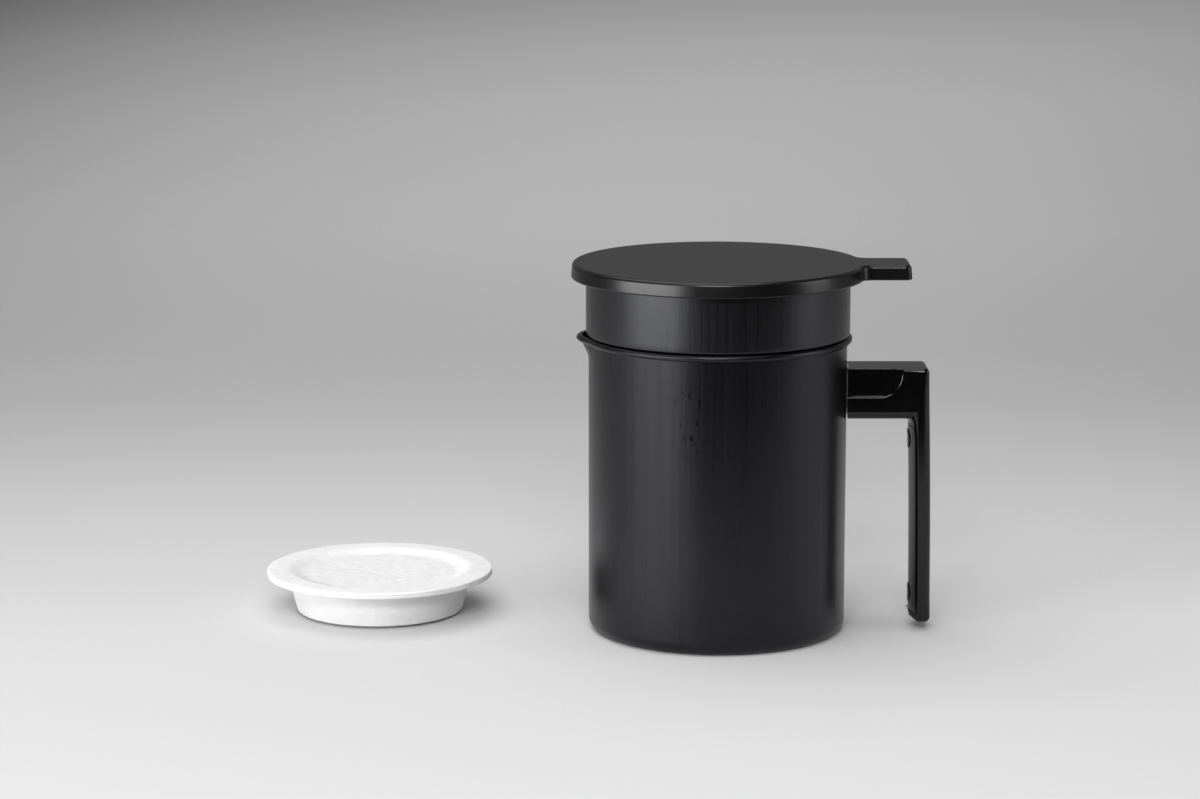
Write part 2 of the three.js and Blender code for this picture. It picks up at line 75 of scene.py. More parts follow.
class Wire:
    """One output of a node, on which sums can be written."""

    def __init__(self, finish, socket):
        self.finish = finish
        self.socket = socket

    def math(self, operation, *values):
        made = self.finish.nodes.new("ShaderNodeMath")
        made.operation = operation
        for place, value in zip(made.inputs, values):
            self.finish.feed(place, value)
        return Wire(self.finish, made.outputs[0])

    def __add__(self, other):
        return self.math("ADD", self, other)

    __radd__ = __add__

    def __sub__(self, other):
        return self.math("SUBTRACT", self, other)

    def __rsub__(self, other):
        return self.math("SUBTRACT", other, self)

    def __mul__(self, other):
        return self.math("MULTIPLY", self, other)

    __rmul__ = __mul__

    def smooth(self, low, high):
        return self.finish.node(
            "MapRange",
            {"interpolation_type": "SMOOTHSTEP"},
            {"Value": self, "From Min": low, "From Max": high},
        )


class Finish:
    """A material, with one method that adds any node to it."""

    def __init__(self, name):
        self.material = bpy.data.materials.new(name)
        self.material.use_nodes = True
        self.tree = self.material.node_tree
        self.nodes = self.tree.nodes
        self.shader = self.nodes["Principled BSDF"]

    def feed(self, place, value):
        if isinstance(value, Wire):
            self.tree.links.new(value.socket, place)
        elif isinstance(value, tuple) and len(value) == 3 and place.type == "RGBA":
            place.default_value = (*value, 1)
        else:
            place.default_value = value

    def node(self, kind, settings=None, inputs=None, output=0):
        made = self.nodes.new("ShaderNode" + kind)
        for name, value in (settings or {}).items():
            if name == "stops":
                self.set_stops(made.color_ramp, value)
            else:
                setattr(made, name, value)
        for name, value in (inputs or {}).items():
            self.feed(made.inputs[name], value)
        return Wire(self, made.outputs[output])

    def set_stops(self, ramp, stops):
        while len(ramp.elements) > 1:
            ramp.elements.remove(ramp.elements[-1])
        ramp.elements[0].position = stops[0][0]
        ramp.elements[0].color = (*stops[0][1], 1)
        for position, colour in stops[1:]:
            ramp.elements.new(position).color = (*colour, 1)

    def place(self):
        return self.node("TexCoord", output="Object")

    def stretched(self, scale):
        return self.node("Mapping", None, {"Vector": self.place(), "Scale": scale})

    def noise(self, vector, scale, detail=3.0, roughness=0.5):
        values = {"Vector": vector, "Scale": scale, "Detail": detail, "Roughness": roughness}
        return self.node("TexNoise", None, values)

    def blend(self, share, first, second):
        made = self.nodes.new("ShaderNodeMix")
        made.data_type = "RGBA"
        self.feed(made.inputs["Factor"], share)
        self.feed(made.inputs[6], first)
        self.feed(made.inputs[7], second)
        return Wire(self, made.outputs[2])

    def bump(self, height, distance, strength=1.0):
        values = {"Height": height, "Distance": distance, "Strength": strength}
        return self.node("Bump", None, values)

    def set(self, **inputs):
        for name, value in inputs.items():
            self.feed(self.shader.inputs[name.replace("_", " ")], value)


# %% [markdown]
# The floor is one wide pale sheet. A studio sweep falls off in brightness with its distance
# from the lamps, so the floor's colour does the same along Y. In the studio the pale sheet ends
# a little in front of the pot, and further to the left it reaches further forward. Beyond that
# the room is dark, and the polished black faces show it. The sheet could be cut off there, but
# then the picture would lose its floor. So a camera ray finds it pale everywhere instead.

# %% The floor's sheet
bpy.ops.object.select_all(action="DESELECT")
FLOOR_R = 9
bpy.ops.mesh.primitive_circle_add(vertices=96, radius=FLOOR_R, fill_type="NGON")
floor = bpy.context.object
floor.name = "floor"

sweep = Finish("pale sweep")
across = sweep.node("SeparateXYZ", None, {"Vector": sweep.place()}, output=0)
along = sweep.node("SeparateXYZ", None, {"Vector": sweep.place()}, output=1)

# Each stop is a share of the way from 0.3 m in front of the axis to 3.7 m behind it, and a colour
SWEEP_STOPS = [
    (0.0, (0.672, 0.672, 0.672)),
    (0.08, (0.672, 0.672, 0.672)),
    (0.14, (0.53, 0.53, 0.53)),
    (0.176, (0.46, 0.46, 0.46)),
    (0.214, (0.41, 0.41, 0.41)),
    (0.259, (0.385, 0.385, 0.385)),
    (0.3, (0.38, 0.38, 0.38)),
    (0.6, (0.44, 0.44, 0.435)),
    (1.0, (0.30, 0.30, 0.30)),
]
spread = sweep.node("MapRange", None, {"Value": along, "From Min": -0.3, "From Max": 3.7})
tone = sweep.node("ValToRGB", {"stops": SWEEP_STOPS}, {"Fac": spread})
leftwards = across.math("MAXIMUM", across * -1.0 - 0.2, 0.0)
near = (along + leftwards * 1.2).smooth(-0.47, -0.31)
mirrored = sweep.blend(near, (0.02, 0.02, 0.02), tone)
watched = sweep.node("LightPath", output="Is Camera Ray")
print("the floor is", 2 * FLOOR_R, "m across")

# %% [markdown]
# Behind the pot the sheet is also lit by lamps of its own, which don't reach the pot. Real lamps
# there would spill onto the object, so they are an emission that only the camera and mirror
# reflections see, weaker to the sides of the picture. A pool of light on the sheet, left of the
# pot, is seen by mirror reflections alone: it gives the can's left side its soft upright band.

# %% The floor's glow
mirror = sweep.node("LightPath", output="Is Glossy Ray")
passed = sweep.node("LightPath", output="Is Transmission Ray")
reached = watched.math("MAXIMUM", watched, mirror.math("MAXIMUM", mirror * 0.6, passed))
GLOW_STOPS = [
    (0.05, 0.0),
    (0.088, 0.025),
    (0.119, 0.060),
    (0.143, 0.088),
    (0.176, 0.098),
    (0.214, 0.102),
    (0.259, 0.128),
    (0.3115, 0.172),
    (0.3945, 0.238),
    (0.449, 0.266),
    (0.542, 0.297),
    (0.66, 0.325),
    (0.815, 0.325),
    (0.99, 0.285),
]
glow_greys = [(at, (v, v, v)) for at, v in GLOW_STOPS]
glow = sweep.node("ValToRGB", {"stops": glow_greys}, {"Fac": spread})

# The glow fans out from a point in front of the pot and fades with the angle from its middle
FAN_X = 0.0524
FAN_Y = 1.6
FAN_FADE = 10.5
FAN_TURN = 0.018
FAN_DRIFT = 0.027
DIMMEST = 0.3
beyond = along.math("MAXIMUM", along - 1.5, 0.0)
angle = across.math("DIVIDE", across + FAN_X, along + FAN_Y)
sideways = angle - FAN_TURN - beyond * FAN_DRIFT
fading = 1.0 - sideways * sideways * FAN_FADE
shining = reached * fading.math("MAXIMUM", fading, DIMMEST)
shown = sweep.blend(shining, (0.0, 0.0, 0.0), glow)

# The pool of light, 0.2 m in radius
pool_x = across + 0.2
pool_y = along + 0.18
pool = (pool_x * pool_x + pool_y * pool_y).smooth(0.04, 0.0)
sweep.set(
    Base_Color=sweep.blend(watched, mirrored, tone),
    Roughness=0.35,
    Emission_Color=sweep.blend(pool * mirror * 0.6, shown, (0.9, 0.9, 0.9)),
    Emission_Strength=1.0,
)
sweep.shader.inputs["Specular IOR Level"].default_value = 0.0
floor.data.materials.append(sweep.material)
print("the glow has", len(GLOW_STOPS), "stops from front to back")

# %% [markdown]
# The light is soft. One panel stands on the left and a weaker one on the right, a wide one hangs
# overhead, and a small one high in front draws the bright lines on the handle's edges. Area
# lamps are chosen over an environment picture, because each can be moved until its own
# reflection on the black coat lies where the photograph shows it.


# %% The lamps
def add_panel(name, place, aim, width, height, power):
    light = bpy.data.lights.new(name, "AREA")
    light.shape = "RECTANGLE"
    light.size = width
    light.size_y = height
    light.energy = power
    holder = bpy.data.objects.new(name, light)
    bpy.context.scene.collection.objects.link(holder)
    holder.location = place
    facing = Vector(aim) - Vector(place)
    holder.rotation_euler = facing.to_track_quat("-Z", "Y").to_euler()
    print(name, "gives", power, "W over", width, "by", height, "m")


add_panel("left_panel", (-1.4, -0.94, 0.27), (0, 0, 0.1), 1.6, 0.5, 23)
add_panel("right_panel", (1.87, -0.33, 0.6), (0, 0, 0.1), 0.9, 1.1, 9.2)
add_panel("top_panel", (-0.3, -0.1, 1.6), (0, 0, 0), 2.4, 1.8, 25)
add_panel("front_panel", (-0.12, -1.9, 1.12), (0, 0, 0.05), 0.95, 0.36, 22)

# %% [markdown]
# Round the floor there is only the room. To the camera it is pale. To polished things it is pale
# behind the pot and dark in front of it, as a studio with its lamps off is.

# %% The room
world = bpy.data.worlds.new("room")
world.use_nodes = True
bpy.context.scene.world = world
room = world.node_tree
air = room.nodes["Background"]
air.inputs["Strength"].default_value = 1


def add_room_node(kind, **settings):
    made = room.nodes.new("ShaderNode" + kind)
    for name, value in settings.items():
        setattr(made, name, value)
    return made


direction = add_room_node("TexCoord")
parts = add_room_node("SeparateXYZ")
room.links.new(direction.outputs["Generated"], parts.inputs[0])
behind = add_room_node("MapRange", interpolation_type="SMOOTHSTEP")
behind.inputs["From Min"].default_value = -0.2
behind.inputs["From Max"].default_value = 0.8
room.links.new(parts.outputs[1], behind.inputs["Value"])
shade = add_room_node("Mix", data_type="RGBA")
shade.inputs[6].default_value = (0.02, 0.02, 0.02, 1)
shade.inputs[7].default_value = (0.195, 0.195, 0.195, 1)
room.links.new(behind.outputs[0], shade.inputs["Factor"])
path = add_room_node("LightPath")
seen = add_room_node("Mix", data_type="RGBA")
seen.inputs[7].default_value = (0.45, 0.45, 0.45, 1)
room.links.new(path.outputs["Is Camera Ray"], seen.inputs["Factor"])
room.links.new(shade.outputs[2], seen.inputs[6])
room.links.new(seen.outputs[2], air.inputs["Color"])
print("the room has", len(room.nodes), "nodes")

# %% [markdown]
# The can and the upper vessel carry the same coat: a thin black satin film baked on sheet
# metal. It is nearly black, and all that shows is a broad soft reflection. Fine upright streaks
# from drawing and spraying, and a faint orange peel, keep that reflection from being perfect.
# A few small marks on the can, left of its middle, are rubbed smooth and look darker. The
# vessel's coat is a little shinier. All of it is noise on Object coordinates, so nothing has to
# be unwrapped, and the streaks are noise that is stretched along the can's axis.

# %% Black satin coat
# The rubbed marks lie in an oval round this place. A fade is one over its half-width squared.
RUBBED_X = 0.0145
RUBBED_Z = 0.104
ACROSS_FADE = 12000.0
UPRIGHT_FADE = 2300.0


def make_coat(name, level, tint, wear=0.0):
    """A coat. The wear is how much smoother its rubbed marks are."""
    coat = Finish(name)
    from_side = coat.node("SeparateXYZ", None, {"Vector": coat.place()}, output=0) + RUBBED_X
    from_height = coat.node("SeparateXYZ", None, {"Vector": coat.place()}, output=2) - RUBBED_Z
    reach = from_side * from_side * ACROSS_FADE + from_height * from_height * UPRIGHT_FADE
    nicks = coat.noise(coat.stretched((620.0, 620.0, 190.0)), 1.0, 1.0)
    rubbed = nicks.smooth(0.56, 0.7) * reach.smooth(1.0, 0.2) * wear
    streaks = coat.noise(coat.stretched((260.0, 260.0, 9.0)), 1.0, 3.0, 0.6)
    threads = coat.noise(coat.stretched((850.0, 850.0, 5.0)), 1.0, 2.0, 0.6)
    specks = coat.noise(coat.place(), 900.0, 2.0)
    clouds = coat.noise(coat.place(), 22.0, 2.0)
    coat.set(
        Base_Color=coat.blend(clouds, (0.0008, 0.0008, 0.0011), (0.0015, 0.0015, 0.0019)),
        Roughness=0.17 + streaks * 0.04 + threads * 0.2 + clouds * 0.03 - rubbed,
        Normal=coat.bump(streaks * 0.6 + threads + specks * 0.25, 0.05 * MM, 0.6),
        Specular_IOR_Level=level,
        Specular_Tint=tint,
    )
    return coat


coat = make_coat("black satin coat", 0.4, (0.90, 0.89, 1.0), 0.14)
vessel_coat = make_coat("black satin coat of the vessel", 0.57, (0.93, 0.94, 1.0))
print("made:", coat.material.name, "and", vessel_coat.material.name)

# %% [markdown]
# The handle is a smooth moulding of a dense black plastic, glossier than the can. The lid is
# moulded in a mould with a fine etched grain, so it looks grey where light grazes it. The grain
# is finer than a mesh could hold, so it is a bump. The hidden bracket and the screws are bare
# rolled steel, with a roughness that is drawn out along the sheet.

# %% Moulded plastics and steel
glossy = Finish("black handle moulding")
ripple = glossy.noise(glossy.place(), 120.0, 2.0)
grain = glossy.noise(glossy.place(), 2600.0, 2.0)
glossy.set(
    Base_Color=glossy.blend(ripple, (0.0010, 0.0010, 0.0013), (0.0018, 0.0018, 0.0021)),
    Roughness=0.10 + ripple * 0.04,
    Normal=glossy.bump(grain + ripple * 2.0, 0.01 * MM, 0.25),
    Specular_IOR_Level=0.42,
)

grained = Finish("black grained moulding")
etch = grained.noise(grained.place(), 1500.0, 3.0, 0.6)
flow = grained.noise(grained.place(), 30.0, 2.0)
grained.set(
    Base_Color=grained.blend(flow, (0.0014, 0.0014, 0.0017), (0.0024, 0.0024, 0.0027)),
    Roughness=0.25 + etch * 0.08,
    Normal=grained.bump(etch, 0.05 * MM, 0.23),
    Specular_IOR_Level=0.42,
)

steel = Finish("bare steel")
rolling = steel.noise(steel.stretched((40.0, 900.0, 900.0)), 1.0, 3.0)
steel.set(Base_Color=(0.45, 0.46, 0.48), Metallic=1.0, Roughness=0.28 + rolling * 0.2)
print("made:", glossy.material.name, "and", grained.material.name, "and", steel.material.name)

# %% [markdown]
# The cartridge is pressed from white non-woven felt. Its fibres lie in all directions in flat
# tangles, so the colour is near white with a faint marbling, and the surface is dull and soft.
# The cup is the same felt, but its whole colour is made darker. That is painted shade, standing in
# for the shade that falls under the flange and on the cup's sides, so one function makes both
# felts. The granules of the bed are dull black cells.

# %% Felt and granules
def make_felt(name, dark, pale):
    felt = Finish(name)
    tangle = felt.noise(felt.place(), 420.0, 5.0, 0.7)
    swirls = {"Scale": 90.0, "Detail": 6.0, "Roughness": 0.65, "Distortion": 1.6}
    marble = felt.node("TexNoise", None, {"Vector": felt.place(), **swirls})
    felt.set(
        Base_Color=felt.blend(marble.smooth(0.3, 0.7), (dark, dark, dark), (pale, pale, pale)),
        Roughness=0.95,
        Normal=felt.bump(tangle * 0.6 + marble * 0.8, 0.35 * MM, 0.9),
        Specular_IOR_Level=0.2,
        Sheen_Weight=0.1,
        Sheen_Roughness=0.6,
    )
    return felt


sheet_felt = make_felt("white pressed felt", 0.81, 0.87)
# The cup's felt is darker than the sheet's: painted shade for under the flange and the cup's sides
cup_felt_painted_shade = make_felt("white felt of the cup with painted shade", 0.68, 0.73)

granules = Finish("black granules")
cells = granules.node("TexVoronoi", None, {"Vector": granules.place(), "Scale": 900.0})
granules.set(
    Base_Color=granules.blend(cells, (0.008, 0.008, 0.008), (0.03, 0.03, 0.03)),
    Roughness=0.9,
    Normal=granules.bump(cells, 0.4 * MM),
)
print("made:", sheet_felt.material.name, "and", cup_felt_painted_shade.material.name, "and granules")

# %% [markdown]
# Most pieces start from a drawn line: one corner is extruded from point to point, as by hand.
# A turned piece is that line spun round the upright axis. A moulded one is the closed line
# filled with a face and extruded to its thickness. The last helper is the same for all pieces:
# it merges slivers, smooths what is round, keeps what is crisp, and hands the piece over.


# %% Drawing, spinning and finishing
SAME_POINT = 2e-6
SLIVER = 0.01 * MM


def rest_selection():
    if bpy.context.mode != "OBJECT":
        bpy.ops.object.mode_set(mode="OBJECT")
    bpy.ops.object.select_all(action="DESELECT")


def pick(piece):
    rest_selection()
    piece.select_set(True)
    bpy.context.view_layer.objects.active = piece


def draw(name, points, closes):
    """A line of edges through the points, in metres, as an object in edit mode."""
    rest_selection()
    bpy.ops.mesh.primitive_plane_add(size=MM)
    piece = bpy.context.object
    piece.name = name
    piece.data.name = name
    bpy.ops.object.mode_set(mode="EDIT")
    bpy.ops.mesh.select_mode(type="VERT")
    bpy.ops.mesh.select_all(action="SELECT")
    bpy.ops.mesh.merge(type="CENTER")
    bpy.ops.transform.translate(value=points[0])
    path = list(points) + ([points[0]] if closes else [])
    for here, there in zip(path, path[1:]):
        step = Vector(there) - Vector(here)
        bpy.ops.mesh.extrude_vertices_move(TRANSFORM_OT_translate={"value": step})
    bpy.ops.mesh.select_all(action="SELECT")
    bpy.ops.mesh.remove_doubles(threshold=SAME_POINT)
    return piece


def finish_shape(piece, material, body, nodes, angle=35, crisp=False):
    """Merges slivers, smooths the shading and gives the piece its place in the model."""
    bpy.ops.mesh.select_all(action="SELECT")
    bpy.ops.mesh.remove_doubles(threshold=SLIVER)
    bpy.ops.mesh.dissolve_degenerate(threshold=SLIVER / 2)
    bpy.ops.object.mode_set(mode="OBJECT")
    pick(piece)
    bpy.ops.object.shade_smooth_by_angle(angle=math.radians(angle))
    if crisp:
        step = piece.modifiers.new("crisp flats", "WEIGHTED_NORMAL")
        step.weight = 90
        step.keep_sharp = True
        bpy.ops.object.modifier_apply(modifier=step.name)
    piece.data.materials.clear()
    piece.data.materials.append(material.material)
    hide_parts(*nodes)
    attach(piece, body)
    low = [min(v.co[i] for v in piece.data.vertices) / MM for i in range(3)]
    high = [max(v.co[i] for v in piece.data.vertices) / MM for i in range(3)]
    print(piece.name, "from", [round(v, 2) for v in low], "to", [round(v, 2) for v in high])


def spin(name, profile, steps):
    """A profile of (radius, height) in millimetres, spun round the upright axis."""
    piece = draw(name, [(r * MM, 0, z * MM) for r, z in profile], closes=False)
    bpy.ops.mesh.spin(steps=steps, angle=TURN, center=(0, 0, 0), axis=(0, 0, 1))
    bpy.ops.mesh.select_all(action="SELECT")
    bpy.ops.mesh.remove_doubles(threshold=SAME_POINT)
    bpy.ops.mesh.normals_make_consistent(inside=False)
    return piece


def arc(x, y, radius, start, end, steps):
    """Points of an arc from one angle to another, in degrees."""
    angles = [math.radians(start + (end - start) * i / steps) for i in range(steps + 1)]
    return [(x + radius * math.cos(a), y + radius * math.sin(a)) for a in angles]


# %% [markdown]
# The can is drawn from one sheet, and its wall turns into a rolled bead at the mouth. A cylinder
# with a Solidify modifier would give the wall, but not the bead. So the whole section of the
# sheet, outer side, bead and inner side, is drawn as one line and spun.

# %% The can
CAN_R = 57.5
CAN_WALL = 0.8
CAN_TOP = 133.8
BEAD = 1.5
BOTTOM_CORNER = 5.6
LIP_REACH = 3.2
LIP_HALF_ANGLE = 17
LIP_DEPTH = 9.5
inner = CAN_R - CAN_WALL
bead_x = inner + BEAD
bead_z = CAN_TOP - BEAD
bead_start = -math.degrees(math.acos((CAN_WALL - BEAD) / BEAD))
corner_x = CAN_R - BOTTOM_CORNER
lip_levels = [bead_z - LIP_DEPTH + i for i in range(9)]
can_profile = [
    (0, 0),
    (corner_x - 4, 0),
    *arc(corner_x, BOTTOM_CORNER, BOTTOM_CORNER, -90, 0, 12),
    (CAN_R, BOTTOM_CORNER + 1),
    (CAN_R, lip_levels[0] - 1),
    *[(CAN_R, z) for z in lip_levels[:-1]],
    *arc(bead_x, bead_z, BEAD, bead_start, 180, 20),
    *[(inner, z) for z in reversed(lip_levels)],
    (inner, BOTTOM_CORNER + 1),
    *arc(corner_x, BOTTOM_CORNER, BOTTOM_CORNER - CAN_WALL, 0, -90, 10),
    (corner_x - 4, CAN_WALL),
    (0, CAN_WALL),
]
can = spin("can", can_profile, 192)
print("the can has", len(can_profile), "points in its section")

# %% [markdown]
# Opposite the handle the bead is pressed outwards and makes a pouring lip. It could be pulled
# out with proportional editing. Here each corner near the mouth is moved out by a share that
# fades with depth and angle, so bead and wall bend together and keep their thickness.


# %% The pouring lip
def press_lip(piece, reach, half_angle, depth):
    """Moves the bead and the wall under it outwards, opposite the handle."""
    bpy.ops.object.mode_set(mode="OBJECT")
    start = bead_z - depth
    for v in piece.data.vertices:
        z = v.co.z / MM
        radius = math.hypot(v.co.x, v.co.y) / MM
        turn = abs(math.degrees(math.atan2(v.co.y, -v.co.x))) / half_angle
        if z <= start or turn >= 1:
            continue
        rise = min((z - start) / depth, 1)
        pull = reach * rise * rise * (3 - 2 * rise) * math.cos(turn * math.pi / 2) ** 2
        v.co.x *= 1 + pull / radius
        v.co.y *= 1 + pull / radius
    bpy.ops.object.mode_set(mode="EDIT")


press_lip(can, LIP_REACH, LIP_HALF_ANGLE, LIP_DEPTH)
finish_shape(can, coat, "pot", ["can_body"], 50)

# %% [markdown]
# The upper vessel is wider than the mouth above its shoulder and narrower below it, so it hangs
# on the bead. Its floor has a round hole with a short lip, in which the cartridge's cup sits.
# It is spun from one section, as the can is, which starts and ends at the edge of that hole.

# %% The upper vessel
VESSEL_R = 58.7
VESSEL_WALL = 0.8
SHOULDER = CAN_TOP + 0.3
VESSEL_TOP = SHOULDER + 29.6
VESSEL_FLOOR = SHOULDER - 28
FLOOR_CORNER = 4
SEAT_HOLE = 43.2
SEAT_LIP = VESSEL_FLOOR - 2.6
RIM = 1.3
NECK_PLAY = 1.1
neck = inner - NECK_PLAY
neck_in = neck - VESSEL_WALL
vessel_in = VESSEL_R - VESSEL_WALL
bend_x = neck - FLOOR_CORNER
rim_start = -math.degrees(math.acos((VESSEL_WALL - RIM) / RIM))
vessel_profile = [
    (SEAT_HOLE, SEAT_LIP),
    (SEAT_HOLE + VESSEL_WALL, SEAT_LIP),
    (SEAT_HOLE + VESSEL_WALL, VESSEL_FLOOR),
    *arc(bend_x, VESSEL_FLOOR + FLOOR_CORNER, FLOOR_CORNER, -90, 0, 8),
    (neck, SHOULDER - 0.4),
    (neck + 0.4, SHOULDER),
    *arc(VESSEL_R - 1, SHOULDER + 1, 1, -90, 0, 8),
    (VESSEL_R, SHOULDER + 3),
    (VESSEL_R, VESSEL_TOP - 4),
    *arc(vessel_in + RIM, VESSEL_TOP - RIM, RIM, rim_start, 180, 16),
    (vessel_in, SHOULDER + 1.8),
    (vessel_in - 1, SHOULDER + VESSEL_WALL),
    (neck_in, SHOULDER + VESSEL_WALL),
    *arc(bend_x, VESSEL_FLOOR + FLOOR_CORNER, FLOOR_CORNER - VESSEL_WALL, 0, -90, 8),
    (SEAT_HOLE + VESSEL_WALL, VESSEL_FLOOR + VESSEL_WALL),
    (SEAT_HOLE, VESSEL_FLOOR),
    (SEAT_HOLE, SEAT_LIP),
]
vessel = spin("upper_vessel", vessel_profile, 192)
finish_shape(vessel, vessel_coat, "vessel", ["strainer_vessel"], 50)

# %% [markdown]
# A moulded piece is raised from its plan. Its edges are then picked by their place, because the
# number of an edge changes with every step, and bevelled. Hollows are cut with booleans: each
# cutter is a simple solid that reaches a little past the face it opens, so no thin skin is left.


# %% Raising, selecting and cutting
def prism(name, outline, low, high):
    """A flat outline in millimetres, filled and raised from one height to another."""
    piece = draw(name, [(x * MM, y * MM, low * MM) for x, y in outline], closes=True)
    bpy.ops.mesh.edge_face_add()
    bpy.ops.mesh.extrude_region_move(TRANSFORM_OT_translate={"value": (0, 0, (high - low) * MM)})
    bpy.ops.mesh.select_all(action="SELECT")
    bpy.ops.mesh.normals_make_consistent(inside=False)
    return piece


def select_edges(piece, test):
    """Selects the edges whose two ends, in millimetres, pass the test."""
    bpy.ops.mesh.select_mode(type="EDGE")
    bpy.ops.mesh.select_all(action="DESELECT")
    bpy.ops.object.mode_set(mode="OBJECT")
    corners = piece.data.vertices
    for edge in piece.data.edges:
        start, end = (corners[i].co / MM for i in edge.vertices)
        edge.select = test(start, end)
    bpy.ops.object.mode_set(mode="EDIT")


def combine(piece, other, operation):
    """Cuts or joins another object, which is used up."""
    pick(piece)
    step = piece.modifiers.new("combine", "BOOLEAN")
    step.operation = operation
    step.solver = "EXACT"
    step.object = other
    bpy.ops.object.modifier_apply(modifier="combine")
    print(piece.name, operation, other.name, "leaves", len(piece.data.polygons), "faces")
    used = other.data
    bpy.data.objects.remove(other)
    bpy.data.meshes.remove(used)
    bpy.ops.object.mode_set(mode="EDIT")


def tube(name, outer, hole, low, high, steps=160):
    ring = [(hole, low), (outer, low), (outer, high), (hole, high), (hole, low)]
    return spin(name, ring, steps)


def puck(name, radius, low, high, steps=160):
    return spin(name, [(0, low), (radius, low), (radius, high), (0, high)], steps)


def taper(piece, bottom, height, draft):
    """Draws the sides in towards the top, as the mould's walls do."""
    bpy.ops.object.mode_set(mode="OBJECT")
    for v in piece.data.vertices:
        radius = math.hypot(v.co.x, v.co.y) / MM
        share = (v.co.z / MM - bottom) / height
        if radius > 0:
            v.co.x *= 1 - draft * share / radius
            v.co.y *= 1 - draft * share / radius
    bpy.ops.object.mode_set(mode="EDIT")


def slab(name, low, high):
    """A block between two corners, in millimetres."""
    outline = [(low[0], low[1]), (high[0], low[1]), (high[0], high[1]), (low[0], high[1])]
    return prism(name, outline, low[2], high[2])


# %% [markdown]
# The lid is one moulding: a disc whose rim flows into a finger tab, with a rounded top edge and
# a skirt. A cylinder and a box could be joined, but the fillets where the tab leaves the rim
# would be hard to get. So the plan, fillets and all, is drawn as one closed line.

# %% The lid
LID_R = 65.3
LID_PLATE = 2.2
LID_DEPTH = 6.7
UNDERSIDE = VESSEL_TOP + 0.3
LID_TOP = UNDERSIDE + LID_PLATE
LID_BOTTOM = LID_TOP - LID_DEPTH
SKIRT_WALL = 2.3
DRAFT = 0.6
TAB_END = 85.4
TAB_HALF = 12.5
TAB_WALL = 2.8
TAB_RIB_HALF = 0.8
ROOT_FILLET = 5
TAB_CORNER = 3
TOP_ROUND = 1.6
SKIRT_ROUND = 0.7

# Two places closer than this, in millimetres, count as the same when edges are selected
TOUCH = 0.01


def lid_plan(radius, half, end, fillet, corner):
    fillet_y = half + fillet
    fillet_x = math.sqrt((radius + fillet) ** 2 - fillet_y**2)
    turn = math.degrees(math.atan2(fillet_y, fillet_x))
    return [
        *arc(end - corner, corner - half, corner, -90, 0, 8),
        *arc(end - corner, half - corner, corner, 0, 90, 8),
        *arc(fillet_x, fillet_y, fillet, -90, turn - 180, 10),
        *arc(0, 0, radius, turn, 360 - turn, 170)[1:-1],
        *arc(fillet_x, -fillet_y, fillet, 180 - turn, 90, 10),
    ]


plan = lid_plan(LID_R, TAB_HALF, TAB_END, ROOT_FILLET, TAB_CORNER)
lid = prism("lid_moulding", plan, LID_BOTTOM, LID_TOP)
select_edges(lid, lambda a, b: min(a.z, b.z) > LID_TOP - TOUCH)
bpy.ops.mesh.bevel(offset=TOP_ROUND * MM, segments=6, profile=0.5, affect="EDGES")
select_edges(lid, lambda a, b: max(a.z, b.z) < LID_BOTTOM + TOUCH)
bpy.ops.mesh.bevel(offset=SKIRT_ROUND * MM, segments=3, profile=0.5, affect="EDGES")
taper(lid, LID_BOTTOM, LID_TOP - LID_BOTTOM, DRAFT)
hollow = puck("skirt_hollow", LID_R - SKIRT_WALL, LID_BOTTOM - 2, UNDERSIDE)
combine(lid, hollow, "DIFFERENCE")

# %% [markdown]
# Underneath, the tab is hollow on both sides of one rib, and a ring centres the lid in the
# vessel. The two pockets are cut out and the ring is joined on, with the same booleans.

# %% The lid's underside
for side in (1, -1):
    y_low, y_high = sorted((side * TAB_RIB_HALF, side * (TAB_HALF - TAB_WALL)))
    pocket = slab(
        "tab_pocket",
        (LID_R + 2.2, y_low, LID_BOTTOM - 2),
        (TAB_END - TAB_WALL, y_high, UNDERSIDE),
    )
    combine(lid, pocket, "DIFFERENCE")
RING_PLAY = 0.9
RING_WALL = 1.8
RING_DEPTH = 4.2
ring_out = vessel_in - RING_PLAY
ring = tube("locating_ring", ring_out, ring_out - RING_WALL, UNDERSIDE - RING_DEPTH, UNDERSIDE + 1)
combine(lid, ring, "UNION")
finish_shape(lid, grained, "cover", ["lid"], 35, True)

# %% [markdown]
# The handle is one L-shaped moulding. Its arm stands off the can on a hidden bracket, and each
# side of the arm has a shallow sunk panel with a sloped ledge that catches the light as a thin
# curved line. The grip hangs down, leans out a little and is cut back at its foot. Seen from
# the side all of this is one outline, so that is drawn first.

# %% The handle's outline
ARM_TOP = 119.85
ARM_BOTTOM = 96.6
HALF_WIDTH = 10.6
GRIP_REACH = 93.6
GRIP_LEAN = 2.0
GRIP_THICK = 9.3
FOOT = 4.0
FOOT_CHAMFER = 3.2
OUTER_CORNER = 2.4
ARM_ROOT = 52.5


def grip_outer(z):
    down = (ARM_TOP - z) / (ARM_TOP - FOOT)
    return GRIP_REACH + GRIP_LEAN * (1 - (1 - down) ** 2)


def grip_inner(z):
    return grip_outer(z) - GRIP_THICK


def grip_line(side, start, end, steps=14, inset=0.0):
    levels = [start + (end - start) * i / steps for i in range(steps + 1)]
    return [(side(z) + inset, z) for z in levels]


